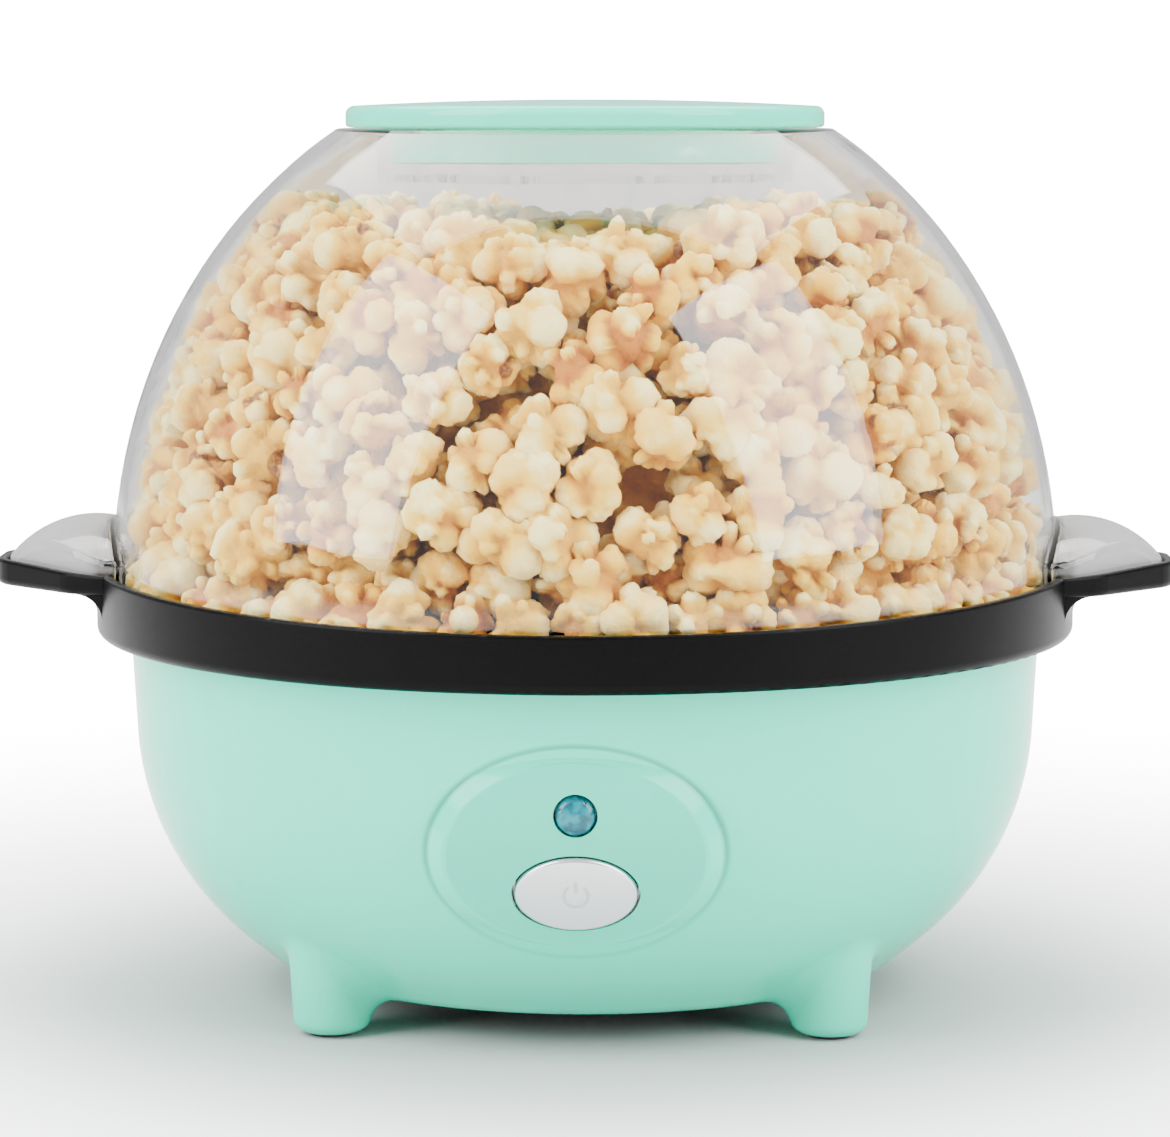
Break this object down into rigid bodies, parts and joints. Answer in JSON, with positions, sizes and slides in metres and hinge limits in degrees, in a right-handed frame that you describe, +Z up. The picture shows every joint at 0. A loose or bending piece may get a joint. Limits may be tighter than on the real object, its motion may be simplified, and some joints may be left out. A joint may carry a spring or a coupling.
{
  "type": "popcorn maker",
  "caption": "Round stirring popcorn maker: clear lift-off bowl with side lugs and a vented cap, over a heated pan with a motor-driven wire, on a footed base.",
  "frame": {"origin": "on the table, under the stirring axis", "axes": "+Z up; the control panel faces -Y, the handles lie along X and the cord inlet faces +Y"},
  "size_m": [0.2922, 0.2422, 0.2209],
  "materials": {
    "mint_plastic": "gloss moulded plastic",
    "black_plastic": "satin moulded plastic",
    "clear_plastic": "clear moulded plastic, polished",
    "nonstick_coating": "dark non-stick coating on aluminium",
    "element_sheath": "heat-dulled steel tube",
    "bright_steel": "bright pressed steel",
    "screw_steel": "zinc-plated steel",
    "thermostat_body": "satin aluminium",
    "copper_winding": "enamelled copper wire",
    "magnet_ferrite": "dark sintered ferrite",
    "gear_plastic": "natural moulded plastic",
    "bush_brass": "turned brass",
    "seal_rubber": "matt rubber",
    "silver_button": "silver-coated plastic",
    "cyan_lens": "tinted clear plastic, faceted",
    "white_plastic": "white moulded plastic"
  },
  "bodies": {
    "base": {"base_housing": "mint_plastic", "base_ring": "black_plastic", "heating_pan": "nonstick_coating", "heating_element": "element_sheath", "element_clamps": "bright_steel", "heat_shield": "bright_steel", "standoffs": "bright_steel", "thermostat": "thermostat_body", "thermal_fuse": "screw_steel", "motor_can": "bright_steel", "motor_middle_plate": "bright_steel", "motor_cover": "bright_steel", "stator_coil": "copper_winding", "stator_poles": "bright_steel", "gear_pins": "bright_steel", "shaft_bush": "bush_brass", "shaft_seal": "seal_rubber", "push_switch": "white_plastic", "switch_bracket": "white_plastic", "bracket_screws": "screw_steel", "indicator_lens": "cyan_lens", "indicator_lamp": "white_plastic", "cord_gland": "seal_rubber", "terminal_block": "white_plastic", "bottom_cover": "black_plastic", "rubber_feet": "seal_rubber", "bottom_screws": "screw_steel", "ring_screws": "screw_steel", "pan_screws": "screw_steel", "motor_screws": "screw_steel", "button_spring": "screw_steel"},
    "bowl": {"clear_bowl": "clear_plastic"},
    "cap": {"measuring_cap": "mint_plastic"},
    "stirrer": {"output_gear": "gear_plastic", "shaft_coupling": "bright_steel", "stir_spindle": "bright_steel", "stir_hub": "black_plastic", "stir_rod": "bright_steel"},
    "middle_gear": {"middle_gear": "gear_plastic"},
    "rotor_stage": {"rotor_stage_gear": "gear_plastic"},
    "rotor": {"rotor": "magnet_ferrite"},
    "button": {"power_button": "silver_button"}
  },
  "joints": [
    {"name": "bowl_lift", "type": "slide", "parent": "base", "child": "bowl", "axis": [0, 0, 1], "range_m": [0, 0.12]},
    {"name": "cap_lift", "type": "slide", "parent": "bowl", "child": "cap", "axis": [0, 0, 1], "range_m": [0, 0.06]},
    {"name": "stir_spin", "type": "hinge", "parent": "base", "child": "stirrer", "pos_m": [0, 0, 0], "axis": [0, 0, 1], "continuous": true},
    {"name": "middle_gear_spin", "type": "hinge", "parent": "base", "child": "middle_gear", "pos_m": [0.01566, 0, 0], "axis": [0, 0, 1], "continuous": true},
    {"name": "rotor_stage_spin", "type": "hinge", "parent": "base", "child": "rotor_stage", "pos_m": [0.01315, 0.01424, 0], "axis": [0, 0, 1], "continuous": true},
    {"name": "rotor_spin", "type": "hinge", "parent": "base", "child": "rotor", "pos_m": [0.00012, 0.0095, 0], "axis": [0, 0, 1], "continuous": true},
    {"name": "button_press", "type": "slide", "parent": "base", "child": "button", "axis": [0, 1, 0], "range_m": [0, 0.003], "stiffness_N_per_m": 350, "springref_m": -0.002, "deforming": ["button_spring"]}
  ],
  "couplings": [
    {"joint": "middle_gear_spin", "follows": "stir_spin", "ratio": -3.3333},
    {"joint": "rotor_stage_spin", "follows": "stir_spin", "ratio": 10},
    {"joint": "rotor_spin", "follows": "stir_spin", "ratio": -36}
  ]
}
